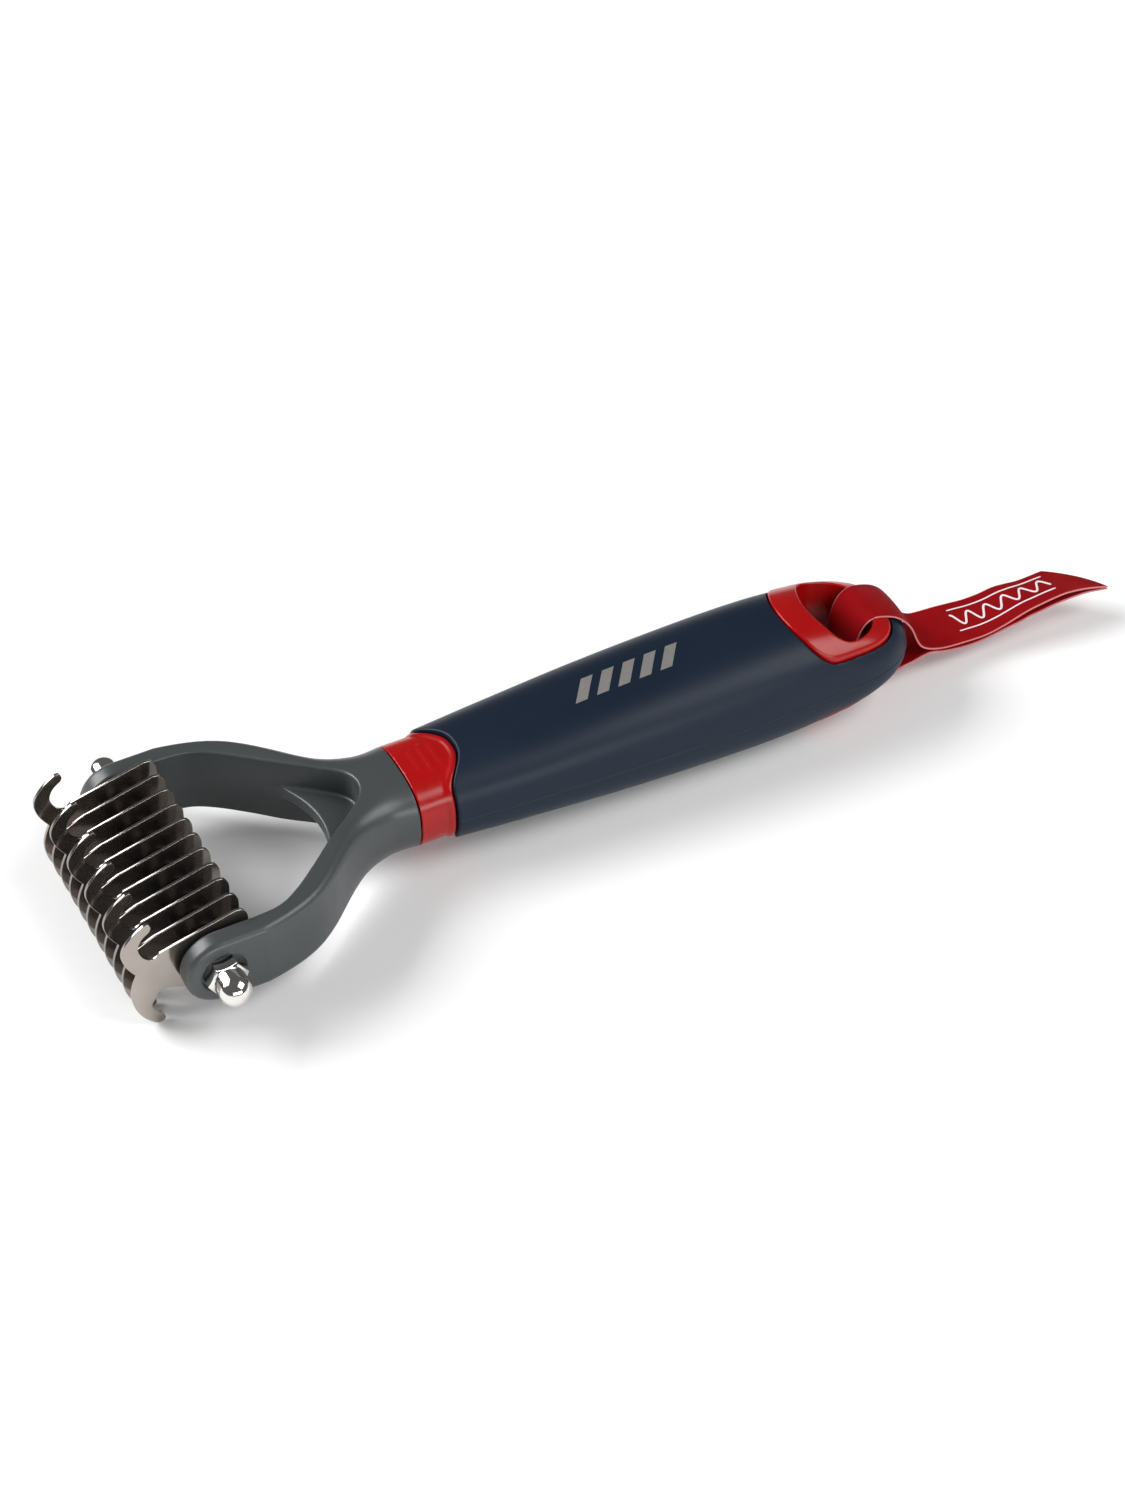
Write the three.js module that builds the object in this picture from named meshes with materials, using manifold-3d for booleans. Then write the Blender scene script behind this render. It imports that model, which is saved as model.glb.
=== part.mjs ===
// Undercoat rake: a row of hooked blades on an axle between the arms of a yoke, on a soft-grip handle.
// Millimetres, +Z up. It is drawn about the axle's centre, with +X along the handle towards the tail and
// +Y across the blades, and the finished group is moved so that its origin is under its middle.

import * as THREE from 'three';
import { mergeVertices } from 'three/addons/utils/BufferGeometryUtils.js';
import Module from 'manifold-3d';

const wasm = await Module();
wasm.setup();

// ---- driving dimensions ----------------------------------------------------------------------------

const GAP = 0.3;                    // between pieces that are moulded or fitted to each other
const SEAT_GAP = 0.1;               // between pieces that are stacked or screwed together
const ROUND_SIDES = 20;             // sides of every turned piece

// Blade pack
const BLADE_COUNT = 11;
const BLADE_PITCH = 4.9;
const BLADE_THICKNESS = 0.7;
const SPACER_RADIUS = 4.5;

// Axle, washers and M5 cap nuts
const AXLE_RADIUS = 2.5;
const AXLE_HALF_LENGTH = 36.2;
const AXLE_CLEARANCE = 0.1;
const WASHER_RADIUS = 5;
const NUT_SEAT = 29.6;              // distance of a nut's seat from the middle of the rake
const NUT_ACROSS_FLATS = 8;
const NUT_HEX_HEIGHT = 3.4;
const NUT_HEIGHT = 9.6;
const NUT_DOME_RADIUS = 3.6;
const NUT_BORE_DEPTH = 7.2;
const COUNTERBORE_RADIUS = 5;

// Yoke
const ARM_INSIDE = 25.8;            // inner faces of the two arm ends
const ARM_OUTSIDE = 30.5;
const ARM_END_RADIUS = 8.3;
const NECK_END = 54;
const CROTCH = 44.2;
const WEB_FRONT = 35.4;
const WEB_THICKNESS = 3.2;
const TANG_END = 104;
const TANG_WIDTH = 13;
const TANG_HEIGHT = 8;

// Handle
const COLLAR_END = 62;              // where the grip starts, on the sides
const LOBE_LENGTH = 5;              // how much further the collar reaches on the top and bottom
const LOBE_HALF_WIDTH = 10.8;
const COLLAR_HALF_WIDTH = 11.7;
const COLLAR_HALF_HEIGHT = 9.1;
const COLLAR_SQUARENESS = 2.7;
const GRIP_SQUARENESS = 2.4;
const GRIP_WALL = 3;
const TAIL_ROUND_START = 158;
const TAIL_END = 178.5;
const EYELET_FRONT = 149.7;          // at its two front corners: its front edge bows forward between them
const EYELET_CORNER = 4.2;
const EYELET_BOW = 2.1;
const EYELET_BACK = 173;
const EYELET_PROUD = 0.2;            // how far its rim stands out of the grip
const EYELET_HALF_WIDTH = 13.1;
const HOLE_FRONT = 156.4;
const HOLE_CORNER = 2.8;
const HOLE_BOW = 2.1;
const HOLE_BACK = 169;
const HOLE_HALF_WIDTH = 10.7;

// Ribbon
const RIBBON_WIDTH = 11.6;
const RIBBON_THICKNESS = 0.9;
const RIBBON_LEVEL = -7.3;            // height of the flag's middle
const RIBBON_LOOP_END = 185.8;
const FLAG_HINGE_X = 187.2;
const FLAG_THICKNESS = 2.2;
const FLAG_SHORT_EDGE_END = 221.3;
const FLAG_LONG_EDGE_END = 232.5;

// ---- materials -------------------------------------------------------------------------------------

function finish(color, roughness, metalness) {
  return new THREE.MeshStandardMaterial({ color, roughness, metalness });
}

const materials = {
  yoke: finish(0x484f52, 0.42, 0),
  core: finish(0xb01418, 0.2, 0),
  grip: finish(0x1c2736, 0.55, 0),
  blade: finish(0xb9b4ac, 0.3, 1),
  spacer: finish(0x8d8a86, 0.35, 1),
  chrome: finish(0xdadada, 0.12, 1),
  ribbon: finish(0xa80c1a, 0.75, 0),
};

// ---- solids ----------------------------------------------------------------------------------------

function toSolid(geometry) {
  const bare = geometry.clone();
  bare.deleteAttribute('normal');
  bare.deleteAttribute('uv');
  const merged = mergeVertices(bare);
  return new wasm.Manifold(new wasm.Mesh({
    numProp: 3,
    vertProperties: new Float32Array(merged.attributes.position.array),
    triVerts: new Uint32Array(merged.index.array),
  }));
}

function toGeometry(solid) {
  const mesh = solid.getMesh();
  const geometry = new THREE.BufferGeometry();
  geometry.setAttribute('position', new THREE.BufferAttribute(mesh.vertProperties, 3));
  geometry.setIndex(new THREE.BufferAttribute(mesh.triVerts, 1));
  geometry.computeVertexNormals();
  return geometry;
}

const joined = (...parts) => parts.map(toSolid).reduce((whole, part) => whole.add(part));

const without = (solid, ...tools) => tools.map(toSolid).reduce((rest, tool) => rest.subtract(tool), solid);

// ---- shapes ----------------------------------------------------------------------------------------

// A smooth curve through [x, value] pairs, read at any x between the first and the last.
function curveThrough(pairs) {
  const slope = (i) => {
    const before = pairs[Math.max(i - 1, 0)];
    const after = pairs[Math.min(i + 1, pairs.length - 1)];
    return (after[1] - before[1]) / (after[0] - before[0]);
  };
  return (x) => {
    const clamped = THREE.MathUtils.clamp(x, pairs[0][0], pairs[pairs.length - 1][0]);
    const i = Math.min(pairs.findLastIndex((pair) => pair[0] <= clamped), pairs.length - 2);
    const [x0, y0] = pairs[i];
    const [x1, y1] = pairs[i + 1];
    const span = x1 - x0;
    const t = (clamped - x0) / span;
    const rise = y1 - y0;
    const a = slope(i) * span - rise;
    const b = rise - slope(i + 1) * span;
    return y0 + rise * t + t * (1 - t) * (a * (1 - t) + b * t);
  };
}

// A power that keeps the sign, with the rounding error of a quarter turn's zero taken off.
function signedPower(value, power) {
  return Math.abs(value) < 1e-6 ? 0 : Math.sign(value) * Math.abs(value) ** power;
}

// A closed body along X whose section at each x is a rounded box: a superellipse with its own half width,
// half height and squareness. It starts as a unit cylinder, and its end caps stay flat.
function loft({ from, to, stations, sides, halfWidth, halfHeight, squareness, spread = (t) => t }) {
  const geometry = new THREE.CylinderGeometry(1, 1, 1, sides, stations);
  const position = geometry.attributes.position;
  for (let i = 0; i < position.count; i += 1) {
    const x = THREE.MathUtils.lerp(from, to, spread(position.getY(i) + 0.5));
    const radius = Math.hypot(position.getX(i), position.getZ(i));
    const angle = Math.atan2(position.getX(i), position.getZ(i));
    const power = 2 / squareness(x);
    const across = signedPower(Math.cos(angle), power);
    const up = signedPower(Math.sin(angle), power);
    position.setXYZ(i, x, radius * halfWidth(x) * across, radius * halfHeight(x) * up);
  }
  return geometry;
}

// A plan outline in X and Y, extruded from one height to another.
function slab(outline, bottom, top, curveSegments = 10) {
  const options = { depth: top - bottom, bevelEnabled: false, curveSegments };
  const geometry = new THREE.ExtrudeGeometry(outline, options);
  return geometry.translate(0, 0, bottom);
}

// A side outline in X and Z, extruded across Y from one side to the other.
function sideSlab(outline, near, far, curveSegments = 8) {
  const options = { depth: far - near, bevelEnabled: false, curveSegments };
  const geometry = new THREE.ExtrudeGeometry(outline, options);
  return geometry.rotateX(Math.PI / 2).translate(0, far, 0);
}

// A turned body on the axle's line: its profile is [radius, distance along Y] pairs.
function turned(profile) {
  return new THREE.LatheGeometry(profile.map(([r, y]) => new THREE.Vector2(r, y)), ROUND_SIDES);
}

const rod = (radius, near, far) => turned([[0, near], [radius, near], [radius, far], [0, far]]);

const sleeve = (outer, inner, near, far) => turned([
  [inner, near],
  [outer, near],
  [outer, far],
  [inner, far],
  [inner, near],
]);

const points = (pairs) => pairs.map(([x, y]) => new THREE.Vector2(x, y));

// ---- blades ----------------------------------------------------------------------------------------

// The long lower hook and the nose above it, which every blade has. The path runs on down and back.
function lowerHook(outline) {
  outline.splineThru(points([[-18.2, -0.9], [-18.7, -3.9], [-18.1, -7.8], [-16.5, -11.2], [-14.3, -13.7]]));
  outline.splineThru(points([[-13.3, -14.15], [-12.2, -13.9], [-11.8, -13], [-12.3, -11.8]]));
  outline.splineThru(points([[-13.6, -10.4], [-14.4, -8.4], [-13.5, -6.6], [-12.4, -5], [-10.8, -4.6]]));
  outline.splineThru(points([[-9.4, -5], [-7.4, -6]]));
}

// The upper hook, from the blade's top edge forward, round its tip and down to the nose.
function upperHook(outline) {
  outline.lineTo(-11.6, 6.2);
  outline.splineThru(points([[-13.3, 5], [-15.2, 6.4], [-16.2, 9.2], [-15.3, 11.7], [-13.4, 13.3]]));
  outline.splineThru(points([[-13, 14.3], [-13.5, 15.5], [-14.6, 15.5]]));
  outline.splineThru(points([[-17.2, 13.6], [-19.4, 10.9], [-19.9, 8.2], [-19, 5], [-17.1, 1.8]]));
}

// The short-nosed front of the blades that have no upper hook.
function plainNose(outline) {
  outline.lineTo(-10.6, 6.2);
  outline.splineThru(points([[-12.6, 5.2], [-15.4, 3.6], [-17.1, 1.8]]));
}

// Stamped plates that flare towards the back, where their corners are rounded.
function bladeGeometry(hasUpperHook) {
  const outline = new THREE.Shape();
  outline.moveTo(3.1, -11.4);
  outline.splineThru(points([[4.7, -11.6], [6.2, -10.4], [6.8, -8.6]]));
  outline.lineTo(8.2, 5.9);
  outline.splineThru(points([[8.1, 8.4], [7.1, 10.2], [5.3, 10.6]]));
  if (hasUpperHook) {
    upperHook(outline);
  } else {
    plainNose(outline);
  }
  lowerHook(outline);
  outline.lineTo(3.1, -11.4);
  const plate = sideSlab(outline, -BLADE_THICKNESS / 2, BLADE_THICKNESS / 2, 2);
  const bore = rod(AXLE_RADIUS + AXLE_CLEARANCE, -BLADE_THICKNESS, BLADE_THICKNESS);
  return toGeometry(without(toSolid(plate), bore));
}

// ---- axle, spacers, washers and nuts ---------------------------------------------------------------

function spacerGeometry() {
  const halfLength = (BLADE_PITCH - BLADE_THICKNESS) / 2 - SEAT_GAP;
  return sleeve(SPACER_RADIUS, AXLE_RADIUS + AXLE_CLEARANCE, -halfLength, halfLength);
}

function washerGeometry() {
  const packEnd = BLADE_PITCH * (BLADE_COUNT - 1) / 2 + BLADE_THICKNESS / 2;
  return sleeve(WASHER_RADIUS, AXLE_RADIUS + AXLE_CLEARANCE, packEnd + SEAT_GAP, ARM_INSIDE - SEAT_GAP);
}

const axleGeometry = () => rod(AXLE_RADIUS, -AXLE_HALF_LENGTH, AXLE_HALF_LENGTH);

// A hexagon under a dome, with a blind hole for the end of the axle. The seat is at y = 0.
function capNutGeometry() {
  const cornerRadius = NUT_ACROSS_FLATS / Math.sqrt(3);
  const hexagon = new THREE.CylinderGeometry(cornerRadius, cornerRadius, NUT_HEX_HEIGHT, 6);
  hexagon.translate(0, NUT_HEX_HEIGHT / 2, 0);
  const domeBase = NUT_HEIGHT - NUT_DOME_RADIUS;
  const dome = [[0, 1], [NUT_DOME_RADIUS, 1]];
  const steps = 7;
  for (let i = 0; i < steps; i += 1) {
    const angle = Math.PI / 2 * i / steps;
    dome.push([NUT_DOME_RADIUS * Math.cos(angle), domeBase + NUT_DOME_RADIUS * Math.sin(angle)]);
  }
  dome.push([0, NUT_HEIGHT]);
  const bore = rod(AXLE_RADIUS + AXLE_CLEARANCE, -1, NUT_BORE_DEPTH);
  return toGeometry(without(joined(hexagon, turned(dome)), bore));
}

// ---- yoke ------------------------------------------------------------------------------------------

const yokeHalfWidth = curveThrough([
  [-10, ARM_OUTSIDE + 0.8], [6, ARM_OUTSIDE + 0.5], [12, 30.1], [19, 28.2], [24, 25.9], [28.5, 22.6],
  [33, 18.6], [37.5, 15.2], [42, 12.7], [47, 11.4], [50.5, 11.3], [NECK_END, COLLAR_HALF_WIDTH],
]);

const yokeHalfHeight = curveThrough([
  [0, ARM_END_RADIUS], [16, 8.5], [27, 8.6], [37, 8.9], [NECK_END, COLLAR_HALF_HEIGHT],
]);

const yokeSquareness = curveThrough([
  [-10, 14], [12, 12], [20, 9], [29, 6], [36, 4.5], [46, 3.2], [NECK_END, COLLAR_SQUARENESS],
]);

// The outside of the yoke, filled in: its front end is round about the axle, and flat on both sides there.
function yokeBody() {
  const body = loft({
    from: -ARM_END_RADIUS - 1,
    to: NECK_END - GAP / 2,
    stations: 22,
    sides: 36,
    halfWidth: yokeHalfWidth,
    halfHeight: yokeHalfHeight,
    squareness: yokeSquareness,
  });
  const roundFront = new THREE.Shape();
  roundFront.moveTo(60, -20);
  roundFront.lineTo(60, 20);
  roundFront.lineTo(2, 20);
  roundFront.lineTo(2, ARM_END_RADIUS);
  roundFront.lineTo(0, ARM_END_RADIUS);
  roundFront.absarc(0, 0, ARM_END_RADIUS, Math.PI / 2, 3 * Math.PI / 2, false);
  roundFront.lineTo(2, -ARM_END_RADIUS);
  roundFront.lineTo(2, -20);
  return toSolid(body).intersect(toSolid(sideSlab(roundFront, -ARM_OUTSIDE, ARM_OUTSIDE, 16)));
}

// The opening between the arms: straight beside the blades, then drawn in to the crotch.
function yokeWindow() {
  const outline = new THREE.Shape();
  const side = [
    [9, ARM_INSIDE], [15, 25.2], [20, 22.6], [26, 17.9], [32, 12.8], [38, 8.2], [42, 4.8], [43.7, 2.4],
  ];
  outline.moveTo(-ARM_END_RADIUS - 1, -ARM_INSIDE);
  outline.lineTo(4, -ARM_INSIDE);
  outline.splineThru(points([...side.map(([x, y]) => [x, -y]), [CROTCH, 0], ...side.reverse()]));
  outline.lineTo(4, ARM_INSIDE);
  outline.lineTo(-ARM_END_RADIUS - 1, ARM_INSIDE);
  return slab(outline, -20, 20, 2);
}

// A web at mid-height that closes the crotch. Its front edge is drawn forward where it meets the arms.
function yokeWeb() {
  const outline = new THREE.Shape();
  outline.moveTo(29.5, -15.8);
  outline.lineTo(48, -4);
  outline.lineTo(48, 4);
  outline.lineTo(29.5, 15.8);
  outline.quadraticCurveTo(WEB_FRONT, 7.5, WEB_FRONT, 0);
  outline.quadraticCurveTo(WEB_FRONT, -7.5, 29.5, -15.8);
  return slab(outline, -WEB_THICKNESS / 2, WEB_THICKNESS / 2, 6);
}

function yokeGeometry() {
  const frame = without(yokeBody(), yokeWindow());
  const tang = new THREE.BoxGeometry(TANG_END - CROTCH - 4, TANG_WIDTH, TANG_HEIGHT);
  tang.translate((TANG_END + CROTCH + 4) / 2, 0, 0);
  const whole = frame.add(toSolid(yokeWeb())).add(toSolid(tang));
  const bore = rod(AXLE_RADIUS + AXLE_CLEARANCE, -40, 40);
  const nearRecess = rod(COUNTERBORE_RADIUS, -40, -NUT_SEAT + SEAT_GAP);
  const farRecess = rod(COUNTERBORE_RADIUS, NUT_SEAT - SEAT_GAP, 40);
  return toGeometry(without(whole, bore, nearRecess, farRecess));
}

// ---- handle ----------------------------------------------------------------------------------------

// The tail's plan and side views close in the same round end.
function tailRounding(x) {
  const t = THREE.MathUtils.clamp((x - TAIL_ROUND_START) / (TAIL_END - TAIL_ROUND_START), 0, 0.9995);
  return (1 - t ** 2.4) ** (1 / 2.4);
}

const gripPlan = curveThrough([
  [62, 13], [80, 14.4], [107, 15.6], [130, 16], [145, 15.9], [158, 15.3], [180, 15],
]);

const gripSide = curveThrough([
  [62, 10.4], [80, 11.3], [100, 12.7], [120, 13.6], [136, 14], [148, 13.7], [158, 12.6], [164, 11.2],
  [170, 10.1], [180, 9.4],
]);

// The grip's outside, or the same surface moved in by a wall.
const gripLoft = (inset, from, to) => loft({
  from,
  to,
  stations: 20,
  sides: 28,
  halfWidth: (x) => gripPlan(x) * tailRounding(x) - inset,
  halfHeight: (x) => gripSide(x) * tailRounding(x) - inset,
  squareness: () => GRIP_SQUARENESS,
  spread: (t) => 1 - (1 - t) ** 1.6,
});

// The part of the plan that the red collar covers: square on the sides, with a round lobe in the middle.
function collarPlan(clearance) {
  const outline = new THREE.Shape();
  const back = COLLAR_END + clearance;
  const lobeWidth = LOBE_HALF_WIDTH + clearance;
  outline.moveTo(NECK_END - 2, -20);
  outline.lineTo(back, -20);
  outline.lineTo(back, -lobeWidth);
  for (let i = -7; i <= 7; i += 1) {
    const across = i / 8;
    const bump = (1 - Math.abs(across) ** 2.5) ** 2.3;
    outline.lineTo(back + LOBE_LENGTH * bump, lobeWidth * across);
  }
  outline.lineTo(back, lobeWidth);
  outline.lineTo(back, 20);
  outline.lineTo(NECK_END - 2, 20);
  return outline;
}

// The collar: the core's front end, which shows between the yoke and the grip.
function collar() {
  const body = loft({
    from: NECK_END + GAP / 2,
    to: COLLAR_END + LOBE_LENGTH + 1,
    stations: 2,
    sides: 36,
    halfWidth: () => COLLAR_HALF_WIDTH,
    halfHeight: () => COLLAR_HALF_HEIGHT,
    squareness: () => COLLAR_SQUARENESS,
  });
  return toSolid(body).intersect(toSolid(slab(collarPlan(0), -20, 20)));
}

// A rounded D in plan: its front edge bows towards the head, and its back is round.
function roundedD(front, back, halfWidth, corner, bow) {
  const outline = new THREE.Shape();
  const shoulder = front + (2 * bow * corner) / (halfWidth - corner);
  const side = front + 1.4 * corner;
  outline.moveTo(front, -halfWidth + corner);
  outline.quadraticCurveTo(shoulder, -halfWidth, side, -halfWidth);
  outline.bezierCurveTo(back - 5, -halfWidth + 0.3, back, -halfWidth * 0.75, back, -halfWidth * 0.3);
  outline.lineTo(back, halfWidth * 0.3);
  outline.bezierCurveTo(back, halfWidth * 0.75, back - 5, halfWidth - 0.3, side, halfWidth);
  outline.quadraticCurveTo(shoulder, halfWidth, front, halfWidth - corner);
  outline.quadraticCurveTo(front - 2 * bow, 0, front, -halfWidth + corner);
  return outline;
}

function eyeletPlan(clearance) {
  const front = EYELET_FRONT - clearance;
  const back = EYELET_BACK + clearance;
  return roundedD(front, back, EYELET_HALF_WIDTH + clearance, EYELET_CORNER, EYELET_BOW);
}

const holePlan = () => roundedD(HOLE_FRONT, HOLE_BACK, HOLE_HALF_WIDTH, HOLE_CORNER, HOLE_BOW);

// The rim of the hanging hole: it comes out of both faces of the grip and stands a little proud of them.
function eyelet() {
  const body = gripLoft(-EYELET_PROUD, EYELET_FRONT - EYELET_BOW - 1, TAIL_END);
  return toSolid(body).intersect(toSolid(slab(eyeletPlan(0), -20, 20)));
}

// The space for the yoke's tang.
function tangSocket() {
  const front = NECK_END - 2;
  const back = TANG_END + GAP;
  const socket = new THREE.BoxGeometry(back - front, TANG_WIDTH + 2 * GAP, TANG_HEIGHT + 2 * GAP);
  return socket.translate((front + back) / 2, 0, 0);
}

// The red core: the collar, a spine inside the grip, and the eyelet.
function coreGeometry() {
  const spine = toSolid(gripLoft(GRIP_WALL + GAP, COLLAR_END - 1, EYELET_FRONT + 2));
  const whole = collar().add(spine).add(eyelet());
  return toGeometry(without(whole, tangSocket(), slab(holePlan(), -20, 20)));
}

// The soft grip, moulded over the core.
function gripGeometry() {
  const outside = toSolid(gripLoft(0, COLLAR_END + GAP, TAIL_END));
  const spineSpace = gripLoft(GRIP_WALL, COLLAR_END - 1, EYELET_FRONT + 2.5);
  const collarSpace = slab(collarPlan(GAP), -20, 20);
  const eyeletSpace = slab(eyeletPlan(GAP), -20, 20);
  return toGeometry(without(outside, spineSpace, collarSpace, eyeletSpace));
}

// ---- ribbon ----------------------------------------------------------------------------------------

// The strip's loop, seen from the side: out of the flag, over the tail, down the hole and back under it.
function ribbonLoopGeometry() {
  const route = new THREE.CatmullRomCurve3([
    [RIBBON_LOOP_END, -6.6], [183.8, -5.9], [182, -4.3], [180.8, -1.9], [179.7, 1], [178.6, 3.6],
    [176.9, 5.9], [174.5, 7.8], [171.7, 9.3], [169.2, 10.1], [167.2, 9.6], [165.6, 7.8], [164.5, 4],
    [164.2, -4], [165.4, -8.4], [168.6, -10.7], [172.4, -10.5], [177, -9.6], [182, -8.4],
    [RIBBON_LOOP_END, -8],
  ].map(([x, z]) => new THREE.Vector3(x, 0, z)));
  const steps = 44;
  const left = [];
  const right = [];
  for (let i = 0; i <= steps; i += 1) {
    const at = route.getPointAt(i / steps);
    const along = route.getTangentAt(i / steps);
    left.push([at.x - along.z * RIBBON_THICKNESS / 2, at.z + along.x * RIBBON_THICKNESS / 2]);
    right.push([at.x + along.z * RIBBON_THICKNESS / 2, at.z - along.x * RIBBON_THICKNESS / 2]);
  }
  const outline = new THREE.Shape(points([...left, ...right.reverse()]));
  return sideSlab(outline, -RIBBON_WIDTH / 2, RIBBON_WIDTH / 2);
}

// Both ends of the strip, one on the other and cut across at a slant. The bend where they leave the loop
// is round about the line that the flag swings on.
function ribbonFlagGeometry() {
  const radius = FLAG_THICKNESS / 2;
  const side = new THREE.Shape();
  side.absarc(FLAG_HINGE_X, RIBBON_LEVEL, radius, Math.PI / 2, 3 * Math.PI / 2, false);
  side.lineTo(FLAG_LONG_EDGE_END + 1, RIBBON_LEVEL - radius);
  side.lineTo(FLAG_LONG_EDGE_END + 1, RIBBON_LEVEL + radius);
  const halfWidth = RIBBON_WIDTH / 2;
  const plan = new THREE.Shape(points([
    [RIBBON_LOOP_END, -halfWidth],
    [FLAG_LONG_EDGE_END, -halfWidth],
    [FLAG_SHORT_EDGE_END, halfWidth],
    [RIBBON_LOOP_END, halfWidth],
  ]));
  const strip = toSolid(sideSlab(side, -halfWidth - 1, halfWidth + 1));
  return toGeometry(strip.intersect(toSolid(slab(plan, -20, 20))));
}

// ---- assembly --------------------------------------------------------------------------------------

const rake = new THREE.Group();

function addPart(name, geometry, material) {
  const mesh = new THREE.Mesh(geometry, material);
  mesh.name = name;
  rake.add(mesh);
  return mesh;
}

const twoDigits = (number) => String(number).padStart(2, '0');

addPart('yoke', yokeGeometry(), materials.yoke);
addPart('handle_core', coreGeometry(), materials.core);
addPart('grip_sleeve', gripGeometry(), materials.grip);
addPart('axle', axleGeometry(), materials.chrome);

const nut = capNutGeometry();
addPart('cap_nut_left', nut, materials.chrome).position.y = NUT_SEAT;
const nearNut = addPart('cap_nut_right', nut, materials.chrome);
nearNut.position.y = -NUT_SEAT;
nearNut.rotation.x = Math.PI;

const washer = washerGeometry();
addPart('washer_left', washer, materials.spacer);
addPart('washer_right', washer, materials.spacer).rotation.x = Math.PI;

// Blade 1 is the left-most, on +Y. Every other blade has the upper hook, starting with the first.
const hookedBlade = bladeGeometry(true);
const plainBlade = bladeGeometry(false);
const spacer = spacerGeometry();
for (let i = 0; i < BLADE_COUNT; i += 1) {
  const y = BLADE_PITCH * ((BLADE_COUNT - 1) / 2 - i);
  const geometry = i % 2 === 0 ? hookedBlade : plainBlade;
  addPart(`blade_${twoDigits(i + 1)}`, geometry, materials.blade).position.y = y;
  if (i < BLADE_COUNT - 1) {
    addPart(`spacer_${twoDigits(i + 1)}`, spacer, materials.spacer).position.y = y - BLADE_PITCH / 2;
  }
}

addPart('ribbon_loop', ribbonLoopGeometry(), materials.ribbon);
addPart('ribbon_flag', ribbonFlagGeometry(), materials.ribbon);

// The origin is under the middle of the whole rake, at the height of what it lies on.
rake.updateMatrixWorld(true);
const extent = new THREE.Box3().setFromObject(rake, true);
const middle = extent.getCenter(new THREE.Vector3());
rake.position.set(-middle.x, -middle.y, -extent.min.z);

export default rake;
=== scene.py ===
import itertools
import math

import bmesh
import bpy
import numpy as np
from mathutils import Matrix, Vector


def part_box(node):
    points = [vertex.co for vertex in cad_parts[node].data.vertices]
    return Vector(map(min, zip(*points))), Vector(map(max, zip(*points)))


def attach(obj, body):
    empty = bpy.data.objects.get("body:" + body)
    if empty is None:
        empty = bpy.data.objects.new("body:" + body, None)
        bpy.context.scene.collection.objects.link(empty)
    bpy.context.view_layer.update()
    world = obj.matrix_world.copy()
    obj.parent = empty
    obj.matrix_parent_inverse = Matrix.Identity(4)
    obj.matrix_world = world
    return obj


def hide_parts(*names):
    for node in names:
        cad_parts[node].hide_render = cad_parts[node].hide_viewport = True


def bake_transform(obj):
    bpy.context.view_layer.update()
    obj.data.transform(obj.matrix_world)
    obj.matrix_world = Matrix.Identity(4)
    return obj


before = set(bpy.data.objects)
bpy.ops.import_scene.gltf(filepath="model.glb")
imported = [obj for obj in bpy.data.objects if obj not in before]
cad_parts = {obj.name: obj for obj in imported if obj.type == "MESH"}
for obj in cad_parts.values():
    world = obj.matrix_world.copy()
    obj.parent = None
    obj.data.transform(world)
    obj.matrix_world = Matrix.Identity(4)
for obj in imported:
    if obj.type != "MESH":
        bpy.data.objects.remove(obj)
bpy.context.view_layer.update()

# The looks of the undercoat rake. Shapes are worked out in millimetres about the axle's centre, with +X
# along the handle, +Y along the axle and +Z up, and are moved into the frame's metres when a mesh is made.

MM = 0.001
HANDLE, PACK, RIBBON_END = "handle", "blade_pack", "ribbon_end"


def middle_of(node):
    low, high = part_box(node)
    return (low + high) / 2


AXLE = np.array(middle_of("axle"))

# ---- dimensions shared with the CAD model, in millimetres ------------------------------------------------

GAP = 0.3  # between pieces that are moulded or fitted to each other
SEAT_GAP = 0.1  # between pieces that are stacked or screwed together

BLADE_COUNT = 11
BLADE_PITCH = 4.9
BLADE_THICKNESS = 0.7
SPACER_RADIUS = 4.5
AXLE_RADIUS = 2.5
AXLE_HALF_LENGTH = 36.2
BORE_RADIUS = 2.6
WASHER_RADIUS = 5
NUT_SEAT = 29.6
NUT_ACROSS_FLATS = 8
NUT_HEX_HEIGHT = 3.4
NUT_HEIGHT = 9.6
NUT_DOME_RADIUS = 3.6
NUT_BORE_DEPTH = 7.2
RECESS_RADIUS = 5

ARM_INSIDE = 25.8
ARM_OUTSIDE = 30.5
ARM_END_RADIUS = 8.3
NECK_END = 54
CROTCH = 44.2
WEB_FRONT = 35.4
WEB_THICKNESS = 3.2
TANG_END = 104
TANG_WIDTH = 13
TANG_HEIGHT = 8

COLLAR_END = 62
LOBE_LENGTH = 5
LOBE_HALF_WIDTH = 10.8
COLLAR_HALF_WIDTH = 11.7
COLLAR_HALF_HEIGHT = 9.1
COLLAR_SQUARENESS = 2.7
GRIP_SQUARENESS = 2.4
GRIP_WALL = 3
TAIL_ROUND_START = 158
TAIL_END = 178.5
EYELET_FRONT = 149.7
EYELET_CORNER = 4.2
EYELET_BOW = 2.1
EYELET_BACK = 173
EYELET_HALF_WIDTH = 13.1
HOLE_FRONT = 156.4
HOLE_BOW = 2.1
HOLE_CORNER = 2.8
HOLE_BACK = 169
HOLE_HALF_WIDTH = 10.7

RIBBON_WIDTH = 11.6
FLAG_SHORT_EDGE_END = 221.3
FLAG_LONG_EDGE_END = 232.5

# ---- curves and outlines ---------------------------------------------------------------------------------


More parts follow.
